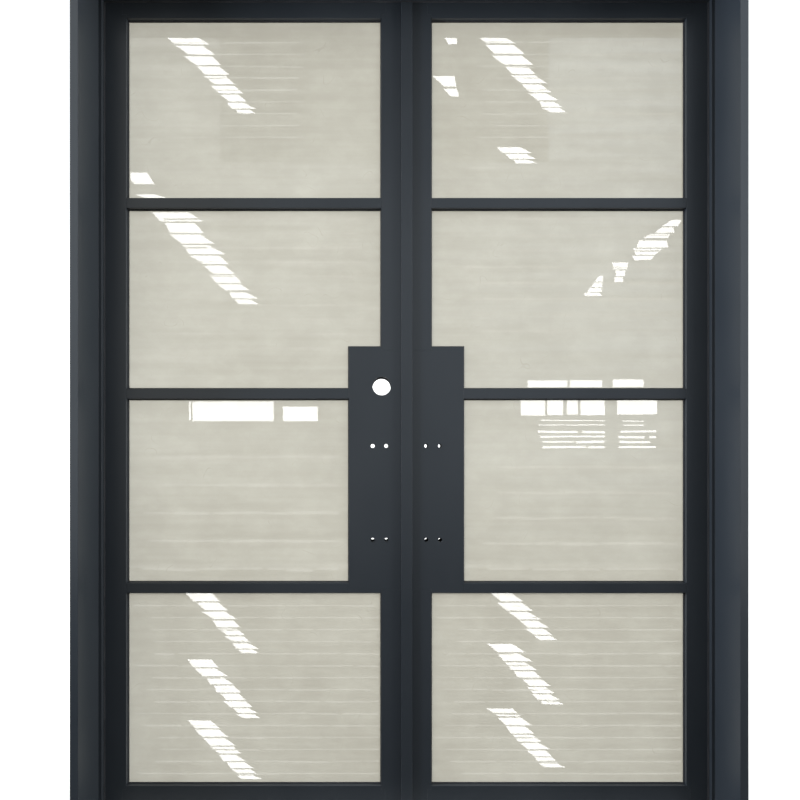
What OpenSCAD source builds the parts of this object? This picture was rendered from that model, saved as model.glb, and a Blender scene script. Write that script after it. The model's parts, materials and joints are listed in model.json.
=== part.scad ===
// Steel and glass double doors in their own frame, four panes to a leaf.
// The leaves open to the rear. X runs across, Y from front to rear, Z up.
// The origin is the middle of the threshold's underside. All sizes are in mm.

/* [Overall] */
// Width over the frame
unit_w = 1829; // [1400:1:2400]
// Height over the frame
unit_h = 2438; // [2030:1:3000]

/* [Frame] */
// Width of the jamb and head faces
jamb_face = 22; // [18:1:40]
// Depth from the frame's front to its stop
reveal_d = 110; // [60:1:160]
// Depth of the stop bar
stop_t = 12; // [8:1:20]
// How far the stop bar stands out of the jamb
stop_proj = 9; // [6:1:14]
// Wall of the jambs and head
jamb_wall = 2; // [1.5:0.5:3]
// Gap between stop and leaf, which the seal fills
seal_gap = 3; // [2:0.5:6]
// How far the seal shows past the stop bar
seal_show = 4; // [2:0.5:6]
// Radius of the holes that fix the frame to a wall
fixing_r = 5; // [3:0.5:7]
// Distance between the outer fixing holes of a jamb
fixing_outer = 1900; // [1200:10:1950]
// Distance between the inner fixing holes of a jamb
fixing_inner = 640; // [300:10:1000]

/* [Threshold] */
// Height of the threshold under the leaves
sill_h = 25; // [20:1:40]
// Height of the threshold's front edge
sill_nose_h = 12; // [8:1:18]
// Height of its weather bar over the threshold
weather_bar_h = 13; // [8:1:20]
// Wall of the threshold
sill_wall = 3; // [2:0.5:4]

/* [Leaves] */
// Thickness of a leaf
leaf_t = 50; // [40:1:60]
// Gap between a leaf and the jamb or head
edge_gap = 3; // [2:0.5:6]
// Gap between the two leaves
meeting_gap = 4; // [4:0.5:8]
// Gap between a leaf and the threshold
foot_gap = 6; // [5:0.5:10]
// Width of the stile tubes
stile_w = 60; // [40:1:90]
// Height of the top rail's tube
top_rail_h = 43; // [30:1:100]
// Height of the bottom rail's tube
bottom_rail_h = 74; // [40:1:250]
// Wall of the stiles, rails and lock boxes
tube_wall = 2.5; // [2:0.5:4]
// Radius of a leaf's outer edges
arris_r = 2; // [1:0.5:3]
// How far the front glazing lip reaches over the glass
lip_w = 11; // [8:1:16]
// Thickness of the lip and of the muntins' faces
lip_t = 10; // [6:1:14]
// Radius of the lip's front edge
lip_r = 1; // [0.5:0.5:2]

/* [Muntins and panes] */
// Face width of a muntin
muntin_face = 30; // [20:1:50]
// Web of a muntin
muntin_web = 8; // [4:1:12]
// Clear height of the bottom pane
pane_4_h = 562.5; // [300:0.5:700]
// Clear height of the third pane
pane_3_h = 538; // [400:0.5:600]
// Clear height of the second pane
pane_2_h = 527.5; // [400:0.5:600]

/* [Glazing] */
// Thickness of each glass sheet
glass_t = 5; // [3:1:8]
// Space between the two sheets of a pane
cavity_t = 12; // [6:1:16]
// Thickness of the front gasket
front_gasket_t = 4; // [2:0.5:6]
// Thickness of the rear gasket
rear_gasket_t = 2; // [1:0.5:4]
// How far the gasket shows past the lip
gasket_show = 3; // [1:0.5:5]
// Clearance round the glass
glass_gap = 3; // [2:0.5:5]
// Width of the spacer bar
spacer_w = 7; // [5:0.5:10]
// How far the glazing beads lie behind the leaf's rear face
bead_recess = 1; // [0:0.5:3]
// Radius of the bead screws
bead_screw_r = 1.5; // [1:0.5:2.5]

/* [Lock boxes] */
// Width of a lock box's tube
lock_box_w = 155; // [140:1:200]
// Height of a lock box's tube
lock_box_h = 699; // [660:1:860]
// Radius of the bore for a lock cylinder
cylinder_r = 27; // [15:0.5:30]
// Distance from the leaf's edge to the cylinder bore
backset = 70; // [50:1:90]
// Height of the cylinder bore over the lock box's foot
cylinder_h = 594.5; // [500:0.5:640]
// Radius of the handle holes
handle_r = 6; // [3:0.5:8]
// Distance between the two columns of handle holes
handle_pitch_x = 40; // [25:1:60]
// Distance between the two rows of handle holes
handle_pitch_z = 275; // [150:1:400]
// Distance from the leaf's edge to the middle of the handle holes
handle_inset = 76.5; // [60:0.5:100]
// Height of the middle of the handle holes over the lock box's foot
handle_h = 282; // [230:1:360]
// Width of the opening for a latch in the leaf's edge
latch_w = 25.4; // [18:0.1:30]
// Height of that opening
latch_h = 57.2; // [40:0.1:80]

/* [Astragal] */
// Width of the astragal
astragal_w = 32; // [26:1:50]
// Thickness of the astragal
astragal_t = 6; // [4:0.5:10]
// How far the astragal laps over the first leaf
astragal_lap = 13; // [8:0.5:20]
// Space between the astragal and the first leaf
astragal_gap = 1.5; // [1:0.5:3]

/* [Hinges] */
// Radius of the knuckles
knuckle_r = 9; // [8:0.5:12]
// Length of one knuckle
knuckle_l = 49; // [30:1:70]
// Radius of the hinge pins
pin_r = 5; // [3:0.5:6]
// Running clearance round the pins
pin_clear = 0.05; // [0.02:0.01:0.1]
// Thickness of the washers between the knuckles
washer_t = 1.9; // [1:0.1:3]
// Width of the hinge plates
plate_w = 18; // [12:1:20]
// Thickness of the hinge plates
plate_t = 3; // [2:0.5:4]
// Distance from a leaf's end to the middle of the nearest hinge
hinge_inset = 200; // [120:5:350]

/* [Flush bolts] */
// Radius of the bolts
bolt_r = 6; // [4:0.5:8]
// Length of a bolt
bolt_l = 220; // [150:5:300]
// Travel of a bolt
bolt_travel = 20; // [12:1:22]
// Clearance round the bolts in their guides
bolt_clear = 0.05; // [0.02:0.01:0.1]
// Clearance round the bolts in their keeps
keep_clear = 0.5; // [0.3:0.1:1.5]

/* [Hidden] */
$fn = 48;
tiny = 0.01;
// Space left between soft seals and what they press on, and round the bolts' ways.
seat_gap = 0.3;
jamb_in = unit_w / 2 - jamb_face;
head_in = unit_h - jamb_face;
seal_t = seal_gap - seat_gap;
seal_in = jamb_in - stop_proj - seal_show;
head_seal_z = head_in - stop_proj - seal_show;
frame_d = reveal_d + stop_t + seal_gap + leaf_t;
front_y = -frame_d / 2;
rear_y = frame_d / 2;
stop_y = front_y + reveal_d;
leaf_y = rear_y - leaf_t;
leaf_mid_y = leaf_y + leaf_t / 2;
mitre_reach = 400;
groove_n = 5;
groove_w = 3;
groove_deep = 1;
groove_pitch = 12;

// The leaf's edges, for the leaf at +X.
hinge_x = jamb_in - edge_gap;
meet_x = meeting_gap / 2;
leaf_foot = sill_h + foot_gap;
leaf_top = head_in - edge_gap;

// The pocket that the glazing fills, between tubes and webs.
pocket_hinge = hinge_x - stile_w;
pocket_meet = meet_x + stile_w;
pocket_box = meet_x + lock_box_w;
pocket_foot = leaf_foot + bottom_rail_h;
pocket_top = leaf_top - top_rail_h;
muntin_3_z = pocket_foot + lip_w + pane_4_h + muntin_face / 2;
muntin_2_z = muntin_3_z + muntin_face + pane_3_h;
muntin_1_z = muntin_2_z + muntin_face + pane_2_h;
muntin_z = [muntin_1_z, muntin_2_z, muntin_3_z];
box_foot = muntin_3_z - muntin_face / 2 + lip_w;
box_top = box_foot + lock_box_h;

// Depths through the glazing, from the front.
gasket_y = leaf_y + lip_t;
glass_y = gasket_y + front_gasket_t;
inner_glass_y = glass_y + glass_t + cavity_t;
rear_gasket_y = inner_glass_y + glass_t;
bead_y = rear_gasket_y + rear_gasket_t;
bead_d = rear_y - bead_recess - bead_y;
bead_w = lip_w;
bead_screw_pitch = 300;
screw_head_h = 1.6;
bead_joint = 0.3;
rear_gasket_show = 1;
spacer_edge = 1;
block_l = 60;

// Hinges and flush bolts.
hinge_axis_x = hinge_x + edge_gap / 2;
hinge_stand_off = 0.5;
hinge_axis_y = rear_y + knuckle_r + hinge_stand_off;
hinge_gap = 2;
knuckle_chamfer = 1.5;
washer_r = knuckle_r - 0.5;
plate_clear = 2.5;
pin_reach = knuckle_l - 4;
pin_top_clear = 1;
hinge_z = [leaf_foot + hinge_inset, (leaf_foot + leaf_top) / 2, leaf_top - hinge_inset];
bolt_x = meet_x + stile_w / 2;
tab_h = 12;
tab_w = 8;
tab_at = bolt_l / 2;
tab_clear = 1;
keep_r = bolt_r + keep_clear;
keep_wall = 3.3;
keep_flange = 2.2;
keep_flange_t = 1.5;
guide_t = 4;
guide_near = 30;
guide_far = bolt_l - 12;

// The sweep under a leaf: a plate that carries fins down to the threshold.
sweep_plate_t = 2;
sweep_w = 14;
fin_t = 2;
fin_n = 3;
fin_h = foot_gap - sweep_plate_t - 2 * seat_gap;
fin_pitch = 5;
sweep_in = 3;
sweep_end = 2;

// The astragal's edges, from the middle of the doors.
astragal_left = -astragal_lap - meet_x;
astragal_right = astragal_left + astragal_w;
astragal_lead = 1;
astragal_end = 2;
astragal_foot = sill_h + weather_bar_h + astragal_end;
astragal_top = head_seal_z - astragal_end;

paint = [0.15, 0.16, 0.18];
black_rubber = [0.05, 0.05, 0.05];
bare_steel = [0.55, 0.56, 0.58];
bronze = [0.62, 0.48, 0.28];
aluminium = [0.72, 0.73, 0.74];
clear_glass = [0.8, 0.84, 0.8, 0.4];

// Every leaf part is drawn for +X; side is 1 for the right leaf and -1 for the left.
module on_side(side) {
    if (side < 0) mirror([1, 0, 0]) children();
    else children();
}

// Extrudes an outline of X and Z to the rear, from y.
module to_rear(y, depth) {
    translate([0, y + depth, 0])
        rotate([90, 0, 0])
            linear_extrude(depth) children();
}

module block(x, y, z) {
    translate([x[0], y[0], z[0]])
        cube([x[1] - x[0], y[1] - y[0], z[1] - z[0]]);
}

// ---- Frame ----

// The closed section of jamb and head: face inwards to stop, from front to rear.
module jamb_outline(face_out, face_in, stop_in) {
    translate([face_in, front_y]) square([face_out - face_in, frame_d]);
    translate([stop_in, stop_y]) square([face_in - stop_in + tiny, stop_t]);
}

module jamb_section() {
    difference() {
        jamb_outline(unit_w / 2, jamb_in, jamb_in - stop_proj);
        translate([jamb_in + jamb_wall, front_y + jamb_wall])
            square([jamb_face - 2 * jamb_wall, frame_d - 2 * jamb_wall]);
    }
}

// The head's section, with the underside of the frame's corner at zero.
module head_section() {
    difference() {
        jamb_outline(jamb_face, 0, -stop_proj);
        translate([jamb_wall, front_y + jamb_wall])
            square([jamb_face - 2 * jamb_wall, frame_d - 2 * jamb_wall]);
    }
}

// The corner that the mitre gives to the head.
module mitre_outline() {
    polygon([
        [unit_w / 2, unit_h],
        [unit_w / 2 - mitre_reach, unit_h - mitre_reach],
        [-unit_w / 2 + mitre_reach, unit_h - mitre_reach],
        [-unit_w / 2, unit_h],
    ]);
}

module fixing_holes() {
    middle = unit_h / 2;
    for (z = [-fixing_outer / 2, -fixing_inner / 2, fixing_inner / 2, fixing_outer / 2])
        translate([jamb_in - 1, leaf_mid_y, middle + z])
            rotate([0, 90, 0]) cylinder(r = fixing_r, h = jamb_face + 2);
}

module side_jamb(side) {
    color(paint) on_side(side) difference() {
        linear_extrude(unit_h) jamb_section();
        to_rear(front_y - 1, frame_d + 2) mitre_outline();
        fixing_holes();
    }
}

module head_jamb() {
    color(paint) difference() {
        intersection() {
            translate([-unit_w / 2, 0, head_in])
                rotate([0, -90, 0]) mirror([0, 0, 1]) linear_extrude(unit_w) head_section();
            to_rear(front_y - 1, frame_d + 2) mitre_outline();
        }
        translate([bolt_x, leaf_mid_y, head_in - 1])
            cylinder(r = keep_r + keep_wall, h = jamb_wall + 2);
    }
}

function sill_top(y) = sill_nose_h + (sill_h - sill_nose_h) * (y - front_y) / (stop_y - front_y);

module sill_chamber(y0, y1) {
    polygon([
        [y0, sill_wall],
        [y1, sill_wall],
        [y1, min(sill_top(y1), sill_h) - sill_wall],
        [y0, min(sill_top(y0), sill_h) - sill_wall],
    ]);
}

module threshold_section() {
    difference() {
        union() {
            polygon([
                [front_y, 0],
                [rear_y, 0],
                [rear_y, sill_h],
                [stop_y, sill_h],
                [front_y, sill_nose_h],
            ]);
            translate([stop_y, sill_h - 1]) square([stop_t, weather_bar_h + 1]);
        }
        sill_chamber(front_y + sill_wall, front_y + reveal_d / 2);
        sill_chamber(front_y + reveal_d / 2 + sill_wall, stop_y);
        sill_chamber(stop_y + sill_wall, rear_y - sill_wall);
        for (i = [1:groove_n])
            translate([front_y + groove_pitch * i, sill_top(front_y + groove_pitch * i) - groove_deep])
                square([groove_w, 3 * groove_deep]);
    }
}

module threshold() {
    color(aluminium) difference() {
        translate([-jamb_in, 0, 0]) rotate([90, 0, 90])
            linear_extrude(2 * jamb_in) threshold_section();
        for (side = [-1, 1]) on_side(side)
            block([jamb_in - stop_proj, jamb_in + 1], [stop_y, stop_y + stop_t],
                [-1, sill_h + weather_bar_h + 1]);
        translate([bolt_x, leaf_mid_y, sill_wall])
            cylinder(r = keep_r + keep_wall, h = sill_h);
        translate([bolt_x, leaf_mid_y, sill_h - keep_flange_t])
            cylinder(r = keep_r + keep_wall + keep_flange, h = sill_h);
    }
}

module side_seal(side) {
    color(black_rubber) on_side(side)
        block([seal_in, jamb_in - seat_gap], [stop_y + stop_t, stop_y + stop_t + seal_t],
            [sill_h, head_seal_z]);
}

module head_seal() {
    color(black_rubber)
        block([-jamb_in + seat_gap, jamb_in - seat_gap],
            [stop_y + stop_t, stop_y + stop_t + seal_t], [head_seal_z, head_in - seat_gap]);
}

// A cup for the top bolt, with its flange inside the head.
module head_keep() {
    color(bare_steel) difference() {
        union() {
            translate([bolt_x, leaf_mid_y, head_in])
                cylinder(r = keep_r + keep_wall, h = jamb_face - jamb_wall);
            translate([bolt_x, leaf_mid_y, head_in + jamb_wall])
                cylinder(r = keep_r + keep_wall + keep_flange, h = keep_flange_t);
        }
        translate([bolt_x, leaf_mid_y, head_in - 1])
            cylinder(r = keep_r, h = bolt_travel);
    }
}

// A cup for the bottom bolt, with its flange let into the threshold's top.
module sill_keep() {
    color(bare_steel) difference() {
        union() {
            translate([bolt_x, leaf_mid_y, sill_wall])
                cylinder(r = keep_r + keep_wall, h = sill_h - sill_wall);
            translate([bolt_x, leaf_mid_y, sill_h - keep_flange_t])
                cylinder(r = keep_r + keep_wall + keep_flange, h = keep_flange_t);
        }
        translate([bolt_x, leaf_mid_y, sill_wall + keep_flange_t])
            cylinder(r = keep_r, h = sill_h);
    }
}

// ---- Hinges ----

// One knuckle from z up, with a chamfer at its outer end.
module knuckle(up) {
    r = knuckle_r;
    mirror([0, 0, up ? 0 : 1])
        rotate_extrude()
            polygon([
                [0, hinge_gap / 2],
                [r, hinge_gap / 2],
                [r, hinge_gap / 2 + knuckle_l - knuckle_chamfer],
                [r - knuckle_chamfer, hinge_gap / 2 + knuckle_l],
                [0, hinge_gap / 2 + knuckle_l],
            ]);
}

module hinge_half(up, bore_r) {
    plate_z = up ? hinge_gap / 2 : -hinge_gap / 2 - knuckle_l;
    plate_x = up ? -plate_clear - plate_w : plate_clear;
    for (z = hinge_z)
        translate([hinge_axis_x, hinge_axis_y, z])
            difference() {
                union() {
                    knuckle(up);
                    translate([plate_x, rear_y - hinge_axis_y, plate_z])
                        cube([plate_w, plate_t, knuckle_l]);
                }
                translate([0, 0, -pin_reach]) cylinder(r = bore_r, h = 2 * pin_reach);
            }
}

module frame_knuckles(side) {
    color(paint) on_side(side) hinge_half(false, pin_r);
}

module leaf_knuckles(side) {
    color(paint) on_side(side) hinge_half(true, pin_r + pin_clear);
}

module hinge_pins() {
    color(bare_steel)
        for (side = [-1, 1], z = hinge_z)
            translate([side * hinge_axis_x, hinge_axis_y, z - pin_reach])
                cylinder(r = pin_r, h = 2 * pin_reach - pin_top_clear);
}

module hinge_washers() {
    color(bronze)
        for (side = [-1, 1], z = hinge_z)
            translate([side * hinge_axis_x, hinge_axis_y, z - hinge_gap / 2])
                difference() {
                    cylinder(r = washer_r, h = washer_t);
                    translate([0, 0, -1]) cylinder(r = pin_r + pin_clear, h = washer_t + 2);
                }
}

// ---- Leaf frame ----

// A square with the two corners at x = 0 rounded.
module edge_rounded(w, h, r) {
    translate([r, 0]) square([w - r, h]);
    translate([0, r]) square([r + tiny, h - 2 * r]);
    translate([r, r]) circle(r);
    translate([r, h - r]) circle(r);
}

// The glazing lip's section, with its front edge rounded, from x to x + lip_w.
module lip_outline(x) {
    translate([x - tiny, 0]) square([lip_w - lip_r + tiny, lip_t]);
    translate([x, lip_r]) square([lip_w, lip_t - lip_r]);
    translate([x + lip_w - lip_r, lip_r]) circle(lip_r);
}

module tube_cavity(w) {
    translate([tube_wall, tube_wall])
        square([w - 2 * tube_wall, leaf_t - 2 * tube_wall]);
}

// A tube with rounded outer edges, closed at both ends, and its glazing lip.
module stile_bar(w, z0, z1, lip_z0, lip_z1) {
    difference() {
        translate([0, 0, z0]) linear_extrude(z1 - z0) edge_rounded(w, leaf_t, arris_r);
        translate([0, 0, z0 + tube_wall])
            linear_extrude(z1 - z0 - 2 * tube_wall) tube_cavity(w);
    }
    translate([0, 0, lip_z0]) linear_extrude(lip_z1 - lip_z0) lip_outline(w);
}

module at_meeting_edge() {
    translate([meet_x, leaf_y, 0]) children();
}

module hinge_stile(side) {
    color(paint) on_side(side)
        translate([hinge_x, leaf_y, 0]) mirror([1, 0, 0])
            stile_bar(stile_w, leaf_foot, leaf_top, pocket_foot, pocket_top);
}

// A flush bolt's way through the end of its stile, and the slot for its tab.
module bolt_cuts(top) {
    end_z = top ? leaf_top : leaf_foot;
    way = top ? 1 : -1;
    translate([bolt_x, leaf_mid_y, end_z - 2 * tube_wall])
        cylinder(r = bolt_r + seat_gap, h = 4 * tube_wall);
    tab_z = end_z - way * tab_at;
    slot = [tab_z - tab_h / 2 - tab_clear, tab_z + tab_h / 2 + tab_clear];
    stroke = way * bolt_travel;
    block([meet_x - 1, meet_x + tube_wall + 1],
        [leaf_mid_y - tab_w / 2 - seat_gap, leaf_mid_y + tab_w / 2 + seat_gap],
        [min(slot[0], slot[0] + stroke), max(slot[1], slot[1] + stroke)]);
}

module upper_stile(side) {
    color(paint) on_side(side) difference() {
        at_meeting_edge() stile_bar(stile_w, box_top, leaf_top, box_top, pocket_top);
        if (side > 0) bolt_cuts(true);
    }
}

module lower_stile(side) {
    color(paint) on_side(side) difference() {
        at_meeting_edge() stile_bar(stile_w, leaf_foot, box_foot, pocket_foot, box_foot);
        if (side > 0) bolt_cuts(false);
    }
}

// Rails run between the stiles' tubes; the lip runs between their lips.
module rail(h) {
    l = pocket_hinge - pocket_meet;
    linear_extrude(l) difference() {
        edge_rounded(h, leaf_t, arris_r);
        tube_cavity(h);
    }
    translate([0, 0, lip_w]) linear_extrude(l - 2 * lip_w) lip_outline(h);
}

module top_rail(side) {
    color(paint) on_side(side)
        translate([pocket_meet, leaf_y, leaf_top]) rotate([0, 90, 0]) rail(top_rail_h);
}

module bottom_rail(side) {
    color(paint) on_side(side)
        translate([pocket_hinge, leaf_y, leaf_foot]) rotate([0, -90, 0]) rail(bottom_rail_h);
}

// The muntin's face, with both front edges rounded, across x and down to the rear in y.
module muntin_face_outline() {
    half = muntin_face / 2;
    translate([-half, lip_r]) square([muntin_face, lip_t - lip_r]);
    translate([-half + lip_r, 0]) square([muntin_face - 2 * lip_r, lip_t]);
    for (x = [-half + lip_r, half - lip_r]) translate([x, lip_r]) circle(lip_r);
}

module muntin(side, n) {
    start = n == 0 ? pocket_meet : pocket_box;
    l = pocket_hinge - start;
    color(paint) on_side(side)
        translate([start, leaf_y, muntin_z[n]]) rotate([0, 90, 0]) {
            translate([0, 0, lip_w]) linear_extrude(l - 2 * lip_w) muntin_face_outline();
            linear_extrude(l) translate([-muntin_web / 2, lip_t])
                square([muntin_web, leaf_t - lip_t]);
        }
}

module box_lip(z, way) {
    lip_x = pocket_meet + lip_w;
    translate([lip_x, leaf_y, z]) rotate([0, -way * 90, 0])
        translate([0, 0, way > 0 ? lip_x - pocket_box - lip_w : 0])
            linear_extrude(pocket_box + lip_w - lip_x) lip_outline(0);
}

module handle_holes() {
    for (x = [-handle_pitch_x / 2, handle_pitch_x / 2])
        for (z = [-handle_pitch_z / 2, handle_pitch_z / 2])
            translate([meet_x + handle_inset + x, leaf_y - 1, box_foot + handle_h + z])
                rotate([-90, 0, 0]) cylinder(r = handle_r, h = leaf_t + 2);
}

module latch_opening() {
    block([meet_x - 1, meet_x + tube_wall + 1],
        [leaf_mid_y - latch_w / 2, leaf_mid_y + latch_w / 2],
        [box_foot + cylinder_h - latch_h / 2, box_foot + cylinder_h + latch_h / 2]);
}

module lock_box(side) {
    color(paint) on_side(side) difference() {
        union() {
            at_meeting_edge() stile_bar(lock_box_w, box_foot, box_top, box_foot, box_top);
            box_lip(box_top, 1);
            box_lip(box_foot, -1);
        }
        handle_holes();
        latch_opening();
        if (side < 0)
            translate([meet_x + backset, leaf_y - 1, box_foot + cylinder_h])
                rotate([-90, 0, 0]) cylinder(r = cylinder_r, h = leaf_t + 2);
    }
}

// ---- Glazing ----

// The corners of each pane's pocket, moved in by d. The second goes round the lock box.
function pocket(n, d) =
    n == 1 ? [
        [pocket_box + d, muntin_z[1] + muntin_web / 2 + d],
        [pocket_hinge - d, muntin_z[1] + muntin_web / 2 + d],
        [pocket_hinge - d, muntin_z[0] - muntin_web / 2 - d],
        [pocket_meet + d, muntin_z[0] - muntin_web / 2 - d],
        [pocket_meet + d, box_top + d],
        [pocket_box + d, box_top + d],
    ]
    : rectangle(
        n == 2 ? pocket_box + d : pocket_meet + d,
        pocket_hinge - d,
        [muntin_z[0] + muntin_web / 2, 0, muntin_z[2] + muntin_web / 2, pocket_foot][n] + d,
        [pocket_top, 0, muntin_z[1] - muntin_web / 2, muntin_z[2] - muntin_face / 2 + lip_w][n] - d
    );

function rectangle(x0, x1, z0, z1) = [[x0, z0], [x1, z0], [x1, z1], [x0, z1]];

module pocket_ring(n, outer, inner) {
    difference() {
        polygon(pocket(n, outer));
        polygon(pocket(n, inner));
    }
}

module glass(side, n) {
    color(clear_glass) on_side(side)
        for (y = [glass_y, inner_glass_y])
            to_rear(y, glass_t) polygon(pocket(n, glass_gap));
}

module spacers(side) {
    color(aluminium) on_side(side)
        for (n = [0:3])
            to_rear(glass_y + glass_t, cavity_t)
                pocket_ring(n, glass_gap + spacer_edge, glass_gap + spacer_edge + spacer_w);
}

module gaskets(side) {
    color(black_rubber) on_side(side)
        for (n = [0:3]) {
            to_rear(gasket_y, front_gasket_t) pocket_ring(n, glass_gap, lip_w + gasket_show);
            to_rear(rear_gasket_y, rear_gasket_t)
                pocket_ring(n, glass_gap, bead_w + rear_gasket_show);
        }
}

module setting_blocks(side) {
    color(black_rubber) on_side(side)
        for (n = [0:3]) {
            foot = pocket(n, 0)[0];
            l = pocket(n, 0)[1][0] - foot[0];
            for (at = [l / 4, 3 * l / 4])
                block([foot[0] + at - block_l / 2, foot[0] + at + block_l / 2],
                    [glass_y, rear_gasket_y], [foot[1], foot[1] + glass_gap]);
        }
}

// Glazing beads as [first corner, last corner, way to the steel behind them].
// Level beads run the full width and upright ones stand between them.
function beads_of(n) =
    let (p = pocket(n, 0), w = bead_w, g = bead_joint)
    n == 1 ? [
        [p[0], p[1] + [0, w], [0, -1]],
        [p[3] - [0, w], p[2], [0, 1]],
        [p[1] + [-w, w + g], p[2] - [0, w + g], [1, 0]],
        [p[4] + [0, w + g], p[3] + [w, -w - g], [-1, 0]],
        [p[4], p[5] + [w, w], [0, -1]],
        [p[0] + [0, w + g], p[5] + [w, -g], [-1, 0]],
    ] : [
        [p[0], p[1] + [0, w], [0, -1]],
        [p[3] - [0, w], p[2], [0, 1]],
        [p[1] + [-w, w + g], p[2] - [0, w + g], [1, 0]],
        [p[0] + [0, w + g], p[3] + [w, -w - g], [-1, 0]],
    ];

// Places children at each screw of a bead, with +Z from its lit face to the steel.
module at_screws(bead) {
    size = bead[1] - bead[0];
    way = bead[2];
    l = way[0] == 0 ? size[0] : size[1];
    count = max(2, round(l / bead_screw_pitch));
    face = (bead[0] + bead[1]) / 2 - way * bead_w / 2;
    for (i = [0:count - 1]) {
        along = (i + 0.5) / count * l - l / 2;
        at = face + (way[0] == 0 ? [along, 0] : [0, along]);
        translate([at[0], bead_y + bead_d / 2, at[1]])
            rotate(way[0] == 0 ? [way[1] > 0 ? 0 : 180, 0, 0] : [0, way[0] * 90, 0])
                children();
    }
}

module beads(side) {
    color(paint) on_side(side)
        for (n = [0:3], bead = beads_of(n))
            difference() {
                block([bead[0][0], bead[1][0]], [bead_y, bead_y + bead_d],
                    [bead[0][1], bead[1][1]]);
                at_screws(bead) translate([0, 0, -1])
                    cylinder(r = bead_screw_r, h = bead_w + 2, $fn = 24);
            }
}

module bead_screws(side) {
    color(bare_steel) on_side(side)
        for (n = [0:3], bead = beads_of(n))
            at_screws(bead) {
                cylinder(r = bead_screw_r, h = bead_w, $fn = 24);
                translate([0, 0, -screw_head_h])
                    cylinder(r = 2 * bead_screw_r, h = screw_head_h, $fn = 24);
            }
}

// ---- Weathering and bolts ----

module sweep_outline() {
    edge = (sweep_w - fin_t - (fin_n - 1) * fin_pitch) / 2;
    translate([0, -sweep_plate_t]) square([sweep_w, sweep_plate_t]);
    for (i = [0:fin_n - 1])
        translate([edge + i * fin_pitch, -sweep_plate_t - fin_h]) square([fin_t, fin_h + tiny]);
}

module sweep(side) {
    color(black_rubber) on_side(side)
        translate([meet_x + sweep_end, leaf_y + sweep_in, leaf_foot]) rotate([90, 0, 90])
            linear_extrude(hinge_x - meet_x - 2 * sweep_end) sweep_outline();
}

// A flat bar with rounded front edges that stands on the second leaf and laps the first.
module astragal_section() {
    r = astragal_lead;
    lap_t = astragal_t - astragal_gap;
    seat_x = meet_x + arris_r;
    translate([astragal_left + r, 0]) square([astragal_w - 2 * r, lap_t]);
    translate([astragal_left, r]) square([astragal_w, lap_t - r]);
    for (x = [astragal_left + r, astragal_right - r]) translate([x, r]) circle(r);
    translate([seat_x, r]) square([astragal_right - seat_x, astragal_t - r]);
}

module astragal() {
    color(paint) translate([0, leaf_y - astragal_t, astragal_foot])
        linear_extrude(astragal_top - astragal_foot) astragal_section();
}

module astragal_seal() {
    color(black_rubber)
        block([-astragal_lap, -meet_x - astragal_lead],
            [leaf_y - astragal_gap, leaf_y - seat_gap],
            [astragal_foot, astragal_top]);
}

module flush_bolt(top) {
    way = top ? 1 : -1;
    end_z = top ? leaf_top : leaf_foot;
    color(bare_steel) {
        translate([bolt_x, leaf_mid_y, top ? end_z - bolt_l : end_z])
            cylinder(r = bolt_r, h = bolt_l);
        block([meet_x + seat_gap, bolt_x], [leaf_mid_y - tab_w / 2, leaf_mid_y + tab_w / 2],
            [end_z - way * tab_at - tab_h / 2, end_z - way * tab_at + tab_h / 2]);
    }
}

module bolt_guides() {
    x = [meet_x + tube_wall, pocket_meet - tube_wall];
    y = [leaf_y + tube_wall, rear_y - tube_wall];
    color(bare_steel)
        for (z = [leaf_top - guide_near, leaf_top - guide_far,
                  leaf_foot + guide_near, leaf_foot + guide_far])
            difference() {
                block(x, y, [z - guide_t / 2, z + guide_t / 2]);
                translate([bolt_x, leaf_mid_y, z - guide_t])
                    cylinder(r = bolt_r + bolt_clear, h = 2 * guide_t);
            }
}

side_jamb(-1);  // left_jamb
side_jamb(1);  // right_jamb
head_jamb();
threshold();
side_seal(-1);  // left_seal
side_seal(1);  // right_seal
head_seal();
frame_knuckles(-1);  // left_frame_knuckles
frame_knuckles(1);  // right_frame_knuckles
hinge_pins();
hinge_washers();
head_keep();
sill_keep();
hinge_stile(-1);  // left_hinge_stile
upper_stile(-1);  // left_upper_stile
lower_stile(-1);  // left_lower_stile
top_rail(-1);  // left_top_rail
bottom_rail(-1);  // left_bottom_rail
muntin(-1, 0);  // left_muntin_1
muntin(-1, 1);  // left_muntin_2
muntin(-1, 2);  // left_muntin_3
lock_box(-1);  // left_lock_box
glass(-1, 0);  // left_glass_1
glass(-1, 1);  // left_glass_2
glass(-1, 2);  // left_glass_3
glass(-1, 3);  // left_glass_4
spacers(-1);  // left_spacers
gaskets(-1);  // left_gaskets
setting_blocks(-1);  // left_setting_blocks
beads(-1);  // left_beads
bead_screws(-1);  // left_bead_screws
leaf_knuckles(-1);  // left_leaf_knuckles
sweep(-1);  // left_sweep
hinge_stile(1);  // right_hinge_stile
upper_stile(1);  // right_upper_stile
lower_stile(1);  // right_lower_stile
top_rail(1);  // right_top_rail
bottom_rail(1);  // right_bottom_rail
muntin(1, 0);  // right_muntin_1
muntin(1, 1);  // right_muntin_2
muntin(1, 2);  // right_muntin_3
lock_box(1);  // right_lock_box
glass(1, 0);  // right_glass_1
glass(1, 1);  // right_glass_2
glass(1, 2);  // right_glass_3
glass(1, 3);  // right_glass_4
spacers(1);  // right_spacers
gaskets(1);  // right_gaskets
setting_blocks(1);  // right_setting_blocks
beads(1);  // right_beads
bead_screws(1);  // right_bead_screws
leaf_knuckles(1);  // right_leaf_knuckles
sweep(1);  // right_sweep
astragal();
astragal_seal();
bolt_guides();
flush_bolt(true);  // top_bolt
flush_bolt(false);  // bottom_bolt
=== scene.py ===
"""Looks for a pair of steel and glass double doors: finishes, fine fittings, light and camera."""

import json
import math

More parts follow.
